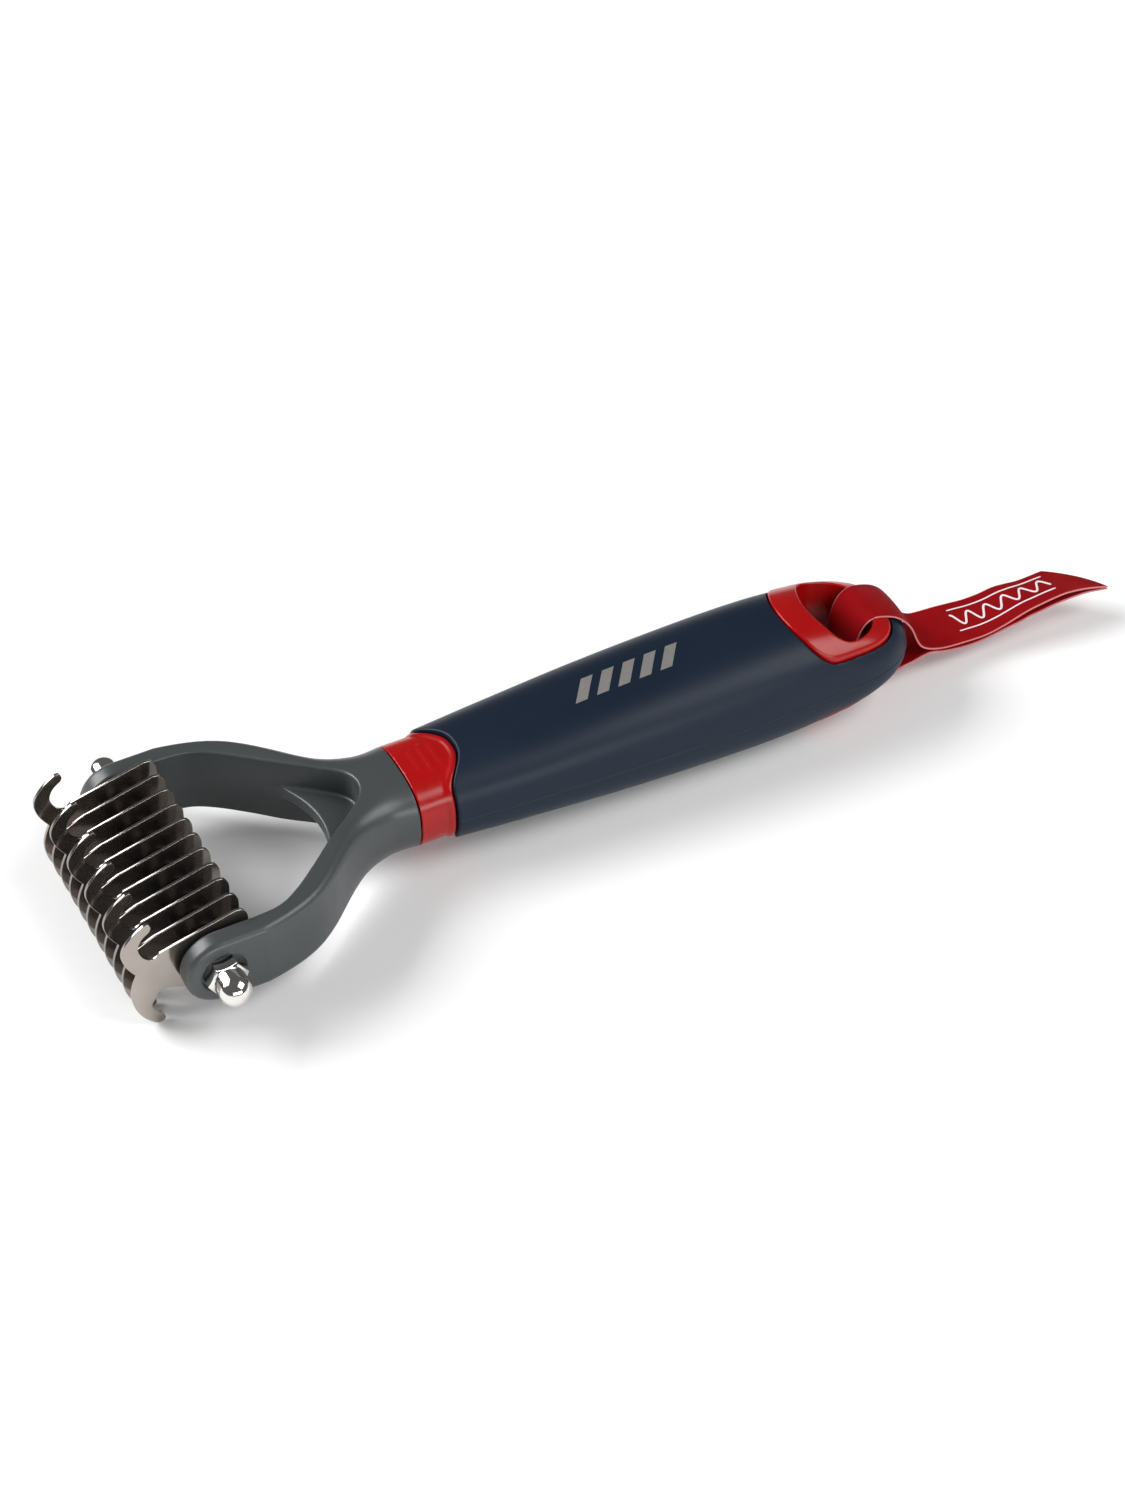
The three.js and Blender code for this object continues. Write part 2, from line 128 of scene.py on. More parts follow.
def curve_through(pairs):
    """A smooth curve through (x, value) pairs, read at any x. It is level beyond the first and the last."""
    knots, values = np.array(pairs, float).T
    slopes = np.empty(len(knots))
    slopes[1:-1] = (values[2:] - values[:-2]) / (knots[2:] - knots[:-2])
    slopes[0] = (values[1] - values[0]) / (knots[1] - knots[0])
    slopes[-1] = (values[-1] - values[-2]) / (knots[-1] - knots[-2])

    def curve(x):
        x = np.clip(x, knots[0], knots[-1])
        i = np.clip(np.searchsorted(knots, x, side="right") - 1, 0, len(knots) - 2)
        span = knots[i + 1] - knots[i]
        t = (x - knots[i]) / span
        rise = values[i + 1] - values[i]
        a = slopes[i] * span - rise
        b = rise - slopes[i + 1] * span
        return values[i] + rise * t + t * (1 - t) * (a * (1 - t) + b * t)

    return curve


def smooth_step(start, end, x):
    t = np.clip((x - start) / (end - start), 0, 1)
    return t * t * (3 - 2 * t)


def spline(points, per_span=8):
    """A uniform Catmull-Rom curve through points, without its first one."""
    points = np.array(points, float)
    padded = np.vstack([points[:1], points, points[-1:]])
    t = np.linspace(0, 1, per_span + 1)[1:, None]
    spans = []
    for p0, p1, p2, p3 in zip(padded, padded[1:], padded[2:], padded[3:]):
        m1, m2 = (p2 - p0) / 2, (p3 - p1) / 2
        cubic = (2 * p1 - 2 * p2 + m1 + m2) * t**3 + (3 * p2 - 3 * p1 - 2 * m1 - m2) * t**2
        spans.append(cubic + m1 * t + p1)
    return np.vstack(spans)


def bezier(points, steps=12):
    """A Bezier curve of any degree, without its first point."""
    points = np.array(points, float)
    degree = len(points) - 1
    t = np.linspace(0, 1, steps + 1)[1:, None]
    return sum(
        math.comb(degree, i) * t**i * (1 - t) ** (degree - i) * p
        for i, p in enumerate(points)
    )


class Outline:
    """A closed outline drawn the way a pen draws it."""

    def __init__(self, start):
        self.points = [np.array(start, float)]

    def line(self, *points):
        self.points += [np.array(p, float) for p in points]
        return self

    def spline(self, *points, per_span=8):
        self.points += list(spline([self.points[-1], *points], per_span))
        return self

    def bezier(self, *points, steps=12):
        self.points += list(bezier([self.points[-1], *points], steps))
        return self

    def array(self):
        points = np.array(self.points)
        return points[:-1] if np.allclose(points[0], points[-1]) else points


# ---- solids from distances -------------------------------------------------------------------------------
# A solid is a function of x, y and z that gives the distance to its surface, negative inside.


def outline_distance(outline):
    """The signed distance to a closed outline, as a function of its two coordinates."""
    starts = np.asarray(outline, float)
    ends = np.roll(starts, -1, axis=0)

    def distance(x, y):
        x, y = np.broadcast_arrays(x, y)
        nearest = np.full(x.shape, np.inf)
        inside = np.zeros(x.shape, bool)
        for (ax, ay), (bx, by) in zip(starts, ends):
            dx, dy = bx - ax, by - ay
            t = np.clip(((x - ax) * dx + (y - ay) * dy) / (dx * dx + dy * dy), 0, 1)
            nearest = np.minimum(nearest, (x - ax - t * dx) ** 2 + (y - ay - t * dy) ** 2)
            if ay != by:
                inside ^= ((ay > y) != (by > y)) & (x < ax + (y - ay) * dx / dy)
        return np.where(inside, -1, 1) * np.sqrt(nearest)

    return distance


def meet(a, b, radius=0.0):
    """What two solids share, with its edge rounded."""
    if not np.any(radius):
        return np.maximum(a, b)
    corner = np.hypot(np.maximum(a + radius, 0), np.maximum(b + radius, 0))
    return np.minimum(np.maximum(a, b), -radius) + corner


def join(a, b, radius=0.0):
    """Two solids as one, with a fillet where they meet."""
    return -meet(-a, -b, radius)


def cut(a, b, radius=0.0):
    """The first solid without the second, with its edge rounded."""
    return meet(a, -b, radius)


def rounded_box_distance(y, z, half_width, half_height, squareness, x_share=0.0, x_length=1.0):
    """The distance to a superellipse section. x_share closes it along x too, as a superellipsoid.

    The two limits below keep the middle of the section, where the slope fades, from dividing by zero.
    """
    n = squareness
    a, b = np.abs(y) / half_width, np.abs(z) / half_height
    reach = np.maximum((a**n + b**n + x_share**n) ** (1 / n), 0.15)
    steepness = np.sqrt(
        ((a / reach) ** (n - 1) / half_width) ** 2
        + ((b / reach) ** (n - 1) / half_height) ** 2
        + ((x_share / reach) ** (n - 1) / x_length) ** 2
    )
    return (reach - 1) / np.maximum(steepness, 1 / 40)


def steps(*stretches):
    """Grid lines from stretches of (start, end, step); each starts where the one before it ends."""
    lines = [
        np.linspace(start, end, max(2, round((end - start) / step) + 1))
        for start, end, step in stretches
    ]
    return np.unique(np.round(np.concatenate(lines), 5))


def surface_net(field, axes):
    """Quads round the zero surface of a sampled field: one vertex in each cell that the surface crosses."""
    inside = field < 0
    cells_shape = np.array(field.shape) - 1
    count = np.zeros(cells_shape, np.int8)
    for corner in itertools.product((0, 1), repeat=3):
        count += inside[tuple(slice(c, c + s) for c, s in zip(corner, cells_shape))]
    cells = np.argwhere((count > 0) & (count < 8))
    number = np.full(cells_shape, -1)
    number[tuple(cells.T)] = np.arange(len(cells))
    total = np.zeros((len(cells), 3))
    hits = np.zeros(len(cells))
    for axis in range(3):
        for others in itertools.product((0, 1), repeat=2):
            start = cells + np.insert(others, axis, 0)
            a = field[tuple(start.T)]
            b = field[tuple((start + np.eye(3, dtype=int)[axis]).T)]
            crossed = (a < 0) != (b < 0)
            spot = start[crossed].astype(float)
            spot[:, axis] += (a / np.where(crossed, a - b, 1))[crossed]
            total[crossed] += spot
            hits += crossed
    spots = total / hits[:, None]
    vertices = np.stack([np.interp(spots[:, i], np.arange(len(axes[i])), axes[i]) for i in range(3)], 1)
    quads = []
    for axis in range(3):
        along = np.eye(3, dtype=int)[axis]
        side, other = np.eye(3, dtype=int)[(axis + 1) % 3], np.eye(3, dtype=int)[(axis + 2) % 3]
        low = np.take(inside, range(field.shape[axis] - 1), axis)
        high = np.take(inside, range(1, field.shape[axis]), axis)
        edges = np.argwhere(low != high)
        edges = edges[((edges - side - other) * (1 - along)).min(1) >= 0]
        ring = [number[tuple((edges + move).T)] for move in (0 * side, -side, -side - other, -other)]
        quad = np.stack(ring, 1)
        leaving = low[tuple(edges.T)]
        quad[~leaving] = quad[~leaving][:, ::-1]
        quads.append(quad)
    return vertices, np.vstack(quads)


def settle(points, distance, reach, rounds=3):
    """Moves points onto the zero surface, along its slope, no further than reach."""
    h = 0.01
    for _ in range(rounds):
        x, y, z = points.T
        here = distance(x, y, z)
        slope = np.stack([
            distance(x + h, y, z) - here,
            distance(x, y + h, z) - here,
            distance(x, y, z + h) - here,
        ], 1) / h
        move = -here[:, None] * slope / np.maximum((slope**2).sum(1), 0.1)[:, None]
        length = np.linalg.norm(move, axis=1, keepdims=True)
        points = points + move * np.minimum(1, reach / np.maximum(length, 1e-9))
    return points


def solid_mesh(distance, x_lines, y_lines, z_lines):
    """Vertices and quads of a solid, sampled on the given grid lines."""
    field = distance(x_lines[:, None, None], y_lines[None, :, None], z_lines[None, None, :])
    vertices, quads = surface_net(field, (x_lines, y_lines, z_lines))
    return settle(vertices, distance, reach=0.25), quads


# ---- making objects --------------------------------------------------------------------------------------


def new_piece(name, vertices, faces, material, body, slot, replaces=(), smooth=True):
    """A mesh object from points in millimetres about the axle's centre."""
    mesh = bpy.data.meshes.new(name)
    points = np.asarray(vertices, float) * MM + AXLE
    mesh.from_pydata(points.tolist(), [], [tuple(int(i) for i in face) for face in faces])
    mesh.polygons.foreach_set("use_smooth", [smooth] * len(mesh.polygons))
    mesh.materials.append(material)
    mesh.update()
    piece = bpy.data.objects.new(name, mesh)
    bpy.context.scene.collection.objects.link(piece)
    if body:
        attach(piece, body)
    if replaces:
        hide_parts(*replaces)
    return piece


def grid_faces(rows, columns, closed_rows=False, closed_columns=False):
    """Quads of a grid of vertices that is numbered row by row."""
    faces = []
    for i in range(rows if closed_rows else rows - 1):
        for j in range(columns if closed_columns else columns - 1):
            i2, j2 = (i + 1) % rows, (j + 1) % columns
            faces.append((i * columns + j, i2 * columns + j, i2 * columns + j2, i * columns + j2))
    return faces


def turned_mesh(profile, sides=64):
    """A closed ring turned about the axle's line from (radius, distance along Y) pairs."""
    profile = np.array(profile, float)
    angle = np.linspace(0, 2 * math.pi, sides, endpoint=False)
    radius, along = profile.T
    vertices = np.stack([
        np.cos(angle)[:, None] * radius[None],
        np.broadcast_to(along, (sides, len(along))),
        np.sin(angle)[:, None] * radius[None],
    ], -1).reshape(-1, 3)
    return vertices, grid_faces(sides, len(profile), True, True)


def rounded_profile(inner, outer, near, far, radius, arc_steps=4):
    """A ring's section with its four corners rounded, as (radius, distance along Y) pairs."""
    corners = [
        (outer - radius, near + radius, -90),
        (outer - radius, far - radius, 0),
        (inner + radius, far - radius, 90),
        (inner + radius, near + radius, 180),
    ]
    section = []
    for r, y, start in corners:
        for i in range(arc_steps + 1):
            turn = math.radians(start + 90 * i / arc_steps)
            section.append((r + radius * math.cos(turn), y + radius * math.sin(turn)))
    return section


# ---- materials -------------------------------------------------------------------------------------------


class Nodes:
    """A material's node tree, with the few nodes that the finishes below need."""

    def __init__(self, name):
        self.material = bpy.data.materials.new(name)
        self.material.use_nodes = True
        self.tree = self.material.node_tree
        self.shader = self.tree.nodes["Principled BSDF"]

    def set(self, **values):
        for name, value in values.items():
            self.shader.inputs[name.replace("_", " ")].default_value = value
        return self

    def node(self, kind, inputs=(), **settings):
        made = self.tree.nodes.new("ShaderNode" + kind)
        for name, value in settings.items():
            setattr(made, name, value)
        for name, value in dict(inputs).items():
            self.feed(made.inputs[name], value)
        return made

    def feed(self, socket, value):
        if isinstance(value, bpy.types.NodeSocket):
            self.tree.links.new(value, socket)
        else:
            socket.default_value = value

    def place(self, scale=(1, 1, 1), coordinates="Object"):
        source = self.node("TexCoord").outputs[coordinates]
        return self.node("Mapping", {"Vector": source, "Scale": scale}).outputs["Vector"]

    def noise(self, size_mm, detail=3.0, stretch=(1, 1, 1)):
        """Noise with lumps of about that size, longer along the axes where stretch is less than 1."""
        where = self.place(stretch)
        inputs = {"Vector": where, "Scale": 1 / (size_mm * MM), "Detail": detail}
        return self.node("TexNoise", inputs).outputs["Fac"]

    def wave(self, scale, direction, distortion, detail=2.0):
        """Bands that follow the ribbon: u runs along the strip and v across it, in metres."""
        inputs = {
            "Vector": self.place(coordinates="UV"), "Scale": scale,
            "Distortion": distortion, "Detail": detail,
        }
        return self.node("TexWave", inputs, bands_direction=direction).outputs["Fac"]

    def ramp(self, value, low, high, from_low=0.3, from_high=0.7):
        inputs = {
            "Value": value, "From Min": from_low, "From Max": from_high, "To Min": low, "To Max": high,
        }
        return self.node("MapRange", inputs).outputs["Result"]

    def tint(self, value, first, second):
        """Between two colours. The node's colour sockets share names with others, so they go by number."""
        mix = self.node("Mix", data_type="RGBA")
        for socket, given in ((0, value), (6, (*first, 1)), (7, (*second, 1))):
            self.feed(mix.inputs[socket], given)
        return mix.outputs[2]

    def combine(self, operation, first, second):
        made = self.node("Math", operation=operation)
        self.feed(made.inputs[0], first)
        self.feed(made.inputs[1], second)
        return made.outputs[0]

    def bump(self, height, depth_mm, strength=1.0):
        inputs = {"Height": height, "Distance": depth_mm * MM, "Strength": strength}
        self.feed(self.shader.inputs["Normal"], self.node("Bump", inputs).outputs["Normal"])
        return self

    def colour(self, value):
        self.feed(self.shader.inputs["Base Color"], value)
        return self

    def roughness(self, value):
        self.feed(self.shader.inputs["Roughness"], value)
        return self


def yoke_plastic():
    n = Nodes("yoke_plastic")
    grain = n.noise(0.35, detail=4)
    flow = n.noise(14, detail=2, stretch=(0.4, 1, 1))
    n.colour(n.tint(n.ramp(flow, 0, 1), (0.039, 0.045, 0.047), (0.047, 0.053, 0.055)))
    n.roughness(n.ramp(grain, 0.30, 0.40))
    n.set(Specular_IOR_Level=0.5)
    return n.bump(grain, 0.02, 0.35).material


def core_plastic():
    n = Nodes("core_plastic")
    cloud = n.noise(9, detail=2)
    n.colour(n.tint(n.ramp(cloud, 0, 1), (0.29, 0.0018, 0.0021), (0.33, 0.0025, 0.0028)))
    n.roughness(n.ramp(n.noise(2.5), 0.20, 0.27))
    n.set(Specular_IOR_Level=0.36)
    return n.bump(n.noise(2.4, detail=1), 0.008, 0.4).material


def grip_rubber():
    n = Nodes("grip_rubber")
    grain = n.noise(0.28, detail=4)
    wear = n.noise(22, detail=3, stretch=(0.5, 1, 1))
    n.colour(n.tint(n.ramp(wear, 0, 1), (0.0042, 0.0102, 0.0225), (0.0056, 0.0125, 0.0262)))
    n.roughness(n.combine("ADD", n.ramp(wear, 0.40, 0.47), n.ramp(grain, -0.03, 0.03)))
    n.set(Specular_IOR_Level=0.23)
    return n.bump(grain, 0.018, 0.3).material


def blade_steel(name, dark, light):
    n = Nodes(name)
    patina = n.noise(7, detail=2)
    n.colour(n.tint(n.ramp(patina, 0, 1), dark, light))
    n.roughness(n.ramp(patina, 0.11, 0.14))
    n.set(Metallic=0.95)
    return n.material


def blade_edge_painted_highlight():
    n = Nodes("blade_edge_painted_highlight")
    # Near-white colour on the blades' rounded edges: a painted highlight, brighter than the steel itself.
    n.colour(n.tint(n.noise(1.2), (0.93, 0.915, 0.885), (0.98, 0.97, 0.95)))
    n.roughness(n.ramp(n.noise(0.3), 0.26, 0.36))
    n.set(Metallic=0.15)
    return n.material


def spacer_steel():
    n = Nodes("spacer_steel")
    rings = n.noise(0.1, detail=2, stretch=(0.1, 1, 0.1))
    # Near-black colour: painted shade of the narrow gaps in the blade pack, where the spacers and washers
    # sit.
    n.colour(n.tint(rings, (0.030, 0.026, 0.025), (0.048, 0.043, 0.041)))
    n.roughness(n.ramp(rings, 0.3, 0.42))
    n.set(Metallic=1.0)
    return n.bump(rings, 0.01, 0.4).material


def nickel_plate():
    n = Nodes("nickel_plate")
    n.colour(n.tint(n.noise(3), (0.72, 0.69, 0.66), (0.80, 0.78, 0.76)))
    n.roughness(n.ramp(n.noise(0.8), 0.05, 0.12))
    n.set(Metallic=1.0)
    return n.bump(n.noise(1.2, detail=1), 0.004, 0.4).material


def ribbon_weave():
    """Satin: long floats along the strip over fine cross threads."""
    n = Nodes("ribbon_weave")
    fineness = 6.2 / (2 * math.pi)
    threads = n.wave(fineness / (0.34 * MM), "Y", 0.6, detail=1.0)
    picks = n.wave(fineness / (0.42 * MM), "X", 0.8, detail=1.0)
    weave = n.combine("ADD", n.combine("MULTIPLY", threads, 0.55), n.combine("MULTIPLY", picks, 0.45))
    even = n.combine("MULTIPLY", weave, 0.6)
    shade = n.combine("ADD", even, n.combine("MULTIPLY", n.noise(3.5, detail=4), 0.4))
    n.colour(n.tint(shade, (0.13, 0.0012, 0.0030), (0.42, 0.0030, 0.0060)))
    n.roughness(n.ramp(weave, 0.72, 0.55, 0, 1))
    n.set(Specular_IOR_Level=0.07)
    creases = n.combine("MULTIPLY", n.noise(2.2, detail=3), 2.0)
    return n.bump(n.combine("ADD", weave, creases), 0.09, 0.8).material


def selvedge_thread():
    n = Nodes("selvedge_thread")
    twist = n.wave(1 / (0.6 * MM), "DIAGONAL", 1.0)
    n.colour(n.tint(twist, (0.42, 0.07, 0.075), (0.66, 0.27, 0.27)))
    n.roughness(n.ramp(twist, 0.8, 0.6, 0, 1))
    n.set(Specular_IOR_Level=0.1)
    return n.bump(twist, 0.05, 0.5).material


def stitch_thread():
    n = Nodes("stitch_thread")
    fuzz = n.noise(0.25, detail=3)
    n.colour(n.tint(fuzz, (0.62, 0.50, 0.55), (0.85, 0.78, 0.80)))
    n.roughness(n.ramp(fuzz, 0.5, 0.7))
    n.set(Sheen_Weight=0.2)
    return n.bump(fuzz, 0.04, 0.5).material


def silver_ink():
    n = Nodes("silver_ink")
    speckle = n.noise(0.3, detail=4)
    n.colour(n.tint(n.ramp(speckle, 0, 1), (0.18, 0.17, 0.165), (0.24, 0.23, 0.22)))
    n.roughness(n.ramp(speckle, 0.4, 0.55))
    n.set(Metallic=0.3)
    return n.material


# ---- yoke ------------------------------------------------------------------------------------------------

yoke_half_width = curve_through([
    (-10, ARM_OUTSIDE + 0.8), (6, ARM_OUTSIDE + 0.5), (12, 30.1), (19, 28.2), (24, 25.9), (28.5, 22.6),
    (33, 18.6), (37.5, 15.2), (42, 12.7), (47, 11.4), (50.5, 11.3), (NECK_END, COLLAR_HALF_WIDTH),
])
yoke_half_height = curve_through([
    (0, ARM_END_RADIUS), (16, 8.5), (27, 8.6), (37, 8.9), (NECK_END, COLLAR_HALF_HEIGHT),
])
arm_edge_radius = curve_through([(-10, 1.6), (8, 1.7), (20, 1.8), (30, 2.3), (40, 4)])


def mirrored(side):
    """An outline from one side's points and their mirror images."""
    side = np.array(side, float)
    return np.vstack([side, side[::-1] * (1, -1)])


def yoke_plan():
    x = np.linspace(-20, NECK_END + 6, 60)
    return mirrored(np.stack([x, np.minimum(yoke_half_width(x), ARM_OUTSIDE)], 1))


def yoke_side():
    angle = np.linspace(math.pi, math.pi / 2, 24)
    nose = ARM_END_RADIUS * np.stack([np.cos(angle), np.sin(angle)], 1)
    x = np.linspace(0, NECK_END + 6, 24)[1:]
    return mirrored(np.vstack([nose, np.stack([x, yoke_half_height(x)], 1)]))


def window_plan():
    side = [
        (9, ARM_INSIDE), (15, 25.2), (20, 22.6), (26, 17.9), (32, 12.8), (38, 8.2), (42, 4.8), (43.7, 2.4),
    ]
    there = [(x, -y) for x, y in side]
    outline = Outline((-20, -ARM_INSIDE)).line((4, -ARM_INSIDE))
    outline.spline(*there, (CROTCH, 0), *side[::-1], (4, ARM_INSIDE), per_span=6)
    return outline.line((-20, ARM_INSIDE)).array()


def web_plan():
    outline = Outline((29.5, -15.8)).line((50, -4), (50, 4), (29.5, 15.8))
    outline.bezier((WEB_FRONT, 7.5), (WEB_FRONT, 0))
    outline.bezier((WEB_FRONT, -7.5), (29.5, -15.8))
    return outline.array()


def yoke_solid():
    plan = outline_distance(yoke_plan())
    side = outline_distance(yoke_side())
    window = outline_distance(window_plan())
    web = outline_distance(web_plan())

    def distance(x, y, z):
        across, up = np.abs(y), np.abs(z)
        arms = meet(plan(x, y), side(x, z), arm_edge_radius(x))
        neck = rounded_box_distance(y, z, yoke_half_width(x), yoke_half_height(x), COLLAR_SQUARENESS)
        body = arms + (neck - arms) * smooth_step(31, 51, x)
        body = cut(body, window(x, y), 0.6)
        sheet = meet(web(x, y), up - WEB_THICKNESS / 2, 0.45)
        body = join(body, sheet, 0.7)
        body = meet(body, x - (NECK_END - GAP / 2), 0.25)
        tang = np.maximum(np.maximum(across - TANG_WIDTH / 2, up - TANG_HEIGHT / 2), x - TANG_END)
        body = join(body, np.maximum(tang, CROTCH + 4 - x))
        from_axle = np.hypot(x, z)
        body = cut(body, from_axle - BORE_RADIUS, 0.1)
        return cut(body, np.maximum(from_axle - RECESS_RADIUS, NUT_SEAT - SEAT_GAP - across), 0.3)

    return distance


def make_yoke(material):
    nose = -ARM_END_RADIUS - 0.5
    mesh = solid_mesh(
        yoke_solid(),
        steps((nose, NECK_END - 0.8, 0.36), (NECK_END - 0.8, NECK_END, 0.12), (NECK_END, TANG_END + 1, 1.5)),
        steps((-ARM_OUTSIDE - 0.5, ARM_OUTSIDE + 0.5, 0.36)),
        steps((-COLLAR_HALF_HEIGHT - 0.5, COLLAR_HALF_HEIGHT + 0.5, 0.32)),
    )
    return new_piece("yoke_moulding", *mesh, material, HANDLE, "yoke_plastic", ["yoke"])


# ---- handle ----------------------------------------------------------------------------------------------

grip_half_width = curve_through([
    (62, 13), (80, 14.4), (107, 15.6), (130, 16), (145, 15.9), (158, 15.3), (180, 15),
])
grip_half_height = curve_through([
    (62, 10.4), (80, 11.3), (100, 12.7), (120, 13.6), (136, 14), (148, 13.7), (158, 12.6), (164, 11.2),
    (170, 10.1), (180, 9.4),
])


def grip_distance(x, y, z):
    """The distance to the grip's outside, without its openings."""
    length = TAIL_END - TAIL_ROUND_START
    share = np.maximum(x - TAIL_ROUND_START, 0) / length
    width, height = grip_half_width(x), grip_half_height(x)
    return rounded_box_distance(y, z, width, height, GRIP_SQUARENESS, share, length)


def collar_plan(clearance):
    """What the red collar covers, seen from above: square on the sides, with a round lobe in the middle."""
    back = COLLAR_END + clearance
    half_width = LOBE_HALF_WIDTH + clearance
    across = np.linspace(-1, 1, 49)
    lobe = np.stack([back + LOBE_LENGTH * (1 - np.abs(across) ** 2.5) ** 2.3, half_width * across], 1)
    return np.vstack([[(NECK_END - 8, -20), (back, -20)], lobe, [(back, 20), (NECK_END - 8, 20)]])


def rounded_d(front, back, half_width, corner, bow):
    """A rounded D, seen from above: its front edge bows towards the head, and its back is round."""
    shoulder = front + 2 * bow * corner / (half_width - corner)
    side = front + 1.4 * corner
    outline = Outline((front, -half_width + corner))
    outline.bezier((shoulder, -half_width), (side, -half_width), steps=8)
    outline.bezier((back - 5, -half_width + 0.3), (back, -half_width * 0.75), (back, -half_width * 0.3))
    outline.line((back, half_width * 0.3))
    outline.bezier((back, half_width * 0.75), (back - 5, half_width - 0.3), (side, half_width))
    outline.bezier((shoulder, half_width), (front, half_width - corner), steps=8)
    outline.bezier((front - 2 * bow, 0), (front, -half_width + corner))
    return outline.array()


def eyelet_plan(clearance):
    front, back = EYELET_FRONT - clearance, EYELET_BACK + clearance
    return rounded_d(front, back, EYELET_HALF_WIDTH + clearance, EYELET_CORNER, EYELET_BOW)


def thumb_ridges(x, y):
    """How far three short ridges stand out of the collar's lobe."""
    rise = 0
    for i, half_length in enumerate((3.0, 3.6, 3.0)):
        along = np.maximum(np.abs(y) - half_length, 0)
        away = np.hypot(x - 58.0 - 2.5 * i, along)
        rise = rise + 0.16 * (1 - smooth_step(0.2, 1.1, away))
    return rise


def core_solid():
    collar_outline = outline_distance(collar_plan(0))
    eyelet_outline = outline_distance(eyelet_plan(0))
    hole_outline = outline_distance(
        rounded_d(HOLE_FRONT, HOLE_BACK, HOLE_HALF_WIDTH, HOLE_CORNER, HOLE_BOW)
    )

    def distance(x, y, z):
        plan = collar_outline(x, y)
        lip = 0.4 * smooth_step(-2.0, -0.5, plan)
        collar = rounded_box_distance(y, z, COLLAR_HALF_WIDTH, COLLAR_HALF_HEIGHT, COLLAR_SQUARENESS)
        collar = collar - lip - np.where(z > 0, thumb_ridges(x, y), 0)
        collar = meet(meet(collar, plan, 0.25), NECK_END + GAP / 2 - x, 0.25)
        outside = grip_distance(x, y, z)
        spine = meet(outside + GRIP_WALL + GAP, np.maximum(COLLAR_END - 1 - x, x - EYELET_FRONT - 2))
        proud = np.where(z > 0, 0.4, 0.2)
        eyelet = meet(outside - proud, eyelet_outline(x, y), 0.4)
        whole = join(join(collar, spine), eyelet)
        draft = 0.6 * (1 - smooth_step(0, 9, np.abs(z)))
        whole = cut(whole, hole_outline(x, y) + draft, 0.4)
        socket = np.maximum(np.abs(y) - TANG_WIDTH / 2 - GAP, np.abs(z) - TANG_HEIGHT / 2 - GAP)
        return cut(whole, np.maximum(socket, x - TANG_END - GAP))

    return distance


def make_core(material):
    mesh = solid_mesh(
        core_solid(),
        steps(
            (NECK_END - 0.2, NECK_END + 0.8, 0.12), (NECK_END + 0.8, 60, 0.25),
            (60, COLLAR_END + LOBE_LENGTH + 0.4, 0.2), (COLLAR_END + LOBE_LENGTH + 0.4, 146, 2),
            (146, EYELET_BACK + 0.4, 0.26),
        ),
        steps((-EYELET_HALF_WIDTH - 0.4, EYELET_HALF_WIDTH + 0.4, 0.26)),
        steps((-14.5, 14.5, 0.26)),
    )
    return new_piece("core_moulding", *mesh, material, HANDLE, "core_plastic", ["handle_core"])


def grip_solid():
    collar_outline = outline_distance(collar_plan(GAP))
    eyelet_outline = outline_distance(eyelet_plan(GAP))

    def distance(x, y, z):
        parting_line = 0.12 * np.exp(-((z / 0.16) ** 2))
        outside = grip_distance(x, y, z)
        body = cut(outside - parting_line, collar_outline(x, y), 0.45)
        body = cut(body, eyelet_outline(x, y), 0.3)
        inside = np.maximum(outside + GRIP_WALL, x - EYELET_FRONT - 2.5)
        return cut(body, inside)

    return distance


def make_grip(material):
    mesh = solid_mesh(
        grip_solid(),
        steps(
            (COLLAR_END - 0.1, 69, 0.22), (69, 146, 0.7), (146, EYELET_BACK + 1, 0.3),
            (EYELET_BACK + 1, TAIL_END + 0.3, 0.3),
        ),
        steps((-16.5, 16.5, 0.33)),
        steps((-14.5, -0.4, 0.33), (-0.4, 0.4, 0.08), (0.4, 14.5, 0.33)),
    )
    return new_piece("grip_moulding", *mesh, material, HANDLE, "grip_rubber", ["grip_sleeve"])


def make_grip_print(material):
    """A plain row of slanted bars printed on the top of the grip."""
    columns, rows = 5, 9
    first, pitch, width, half_length, lean = 97.5, 5.2, 2.9, 3.1, 2.2
    half_thickness = 0.05
    for i in range(5):
        start = first + pitch * i
        top, bottom = [], []
        for row in np.linspace(-1, 1, rows):
            for column in np.linspace(0, 1, columns):
                x, y = start + width * column + lean * row, half_length * row
                shape = 1 - (abs(y) / grip_half_width(x)) ** GRIP_SQUARENESS
                z = grip_half_height(x) * shape ** (1 / GRIP_SQUARENESS)
                top.append((x, y, z + half_thickness))
                bottom.append((x, y, z - half_thickness))
        count = rows * columns
        faces = [tuple(reversed(face)) for face in grid_faces(rows, columns)]
        faces += [tuple(corner + count for corner in face) for face in grid_faces(rows, columns)]
        rim = list(range(columns))
        rim += [r * columns + columns - 1 for r in range(1, rows)]
        rim += [(rows - 1) * columns + j for j in range(columns - 2, -1, -1)]
        rim += [r * columns for r in range(rows - 2, 0, -1)]
        faces += [(a, a + count, b + count, b) for a, b in zip(rim, rim[1:] + rim[:1])]
        new_piece(f"grip_bar_{i + 1}", top + bottom, faces, material, HANDLE, "grip_rubber", smooth=False)


# ---- blades, spacers, washers, axle and nuts -------------------------------------------------------------


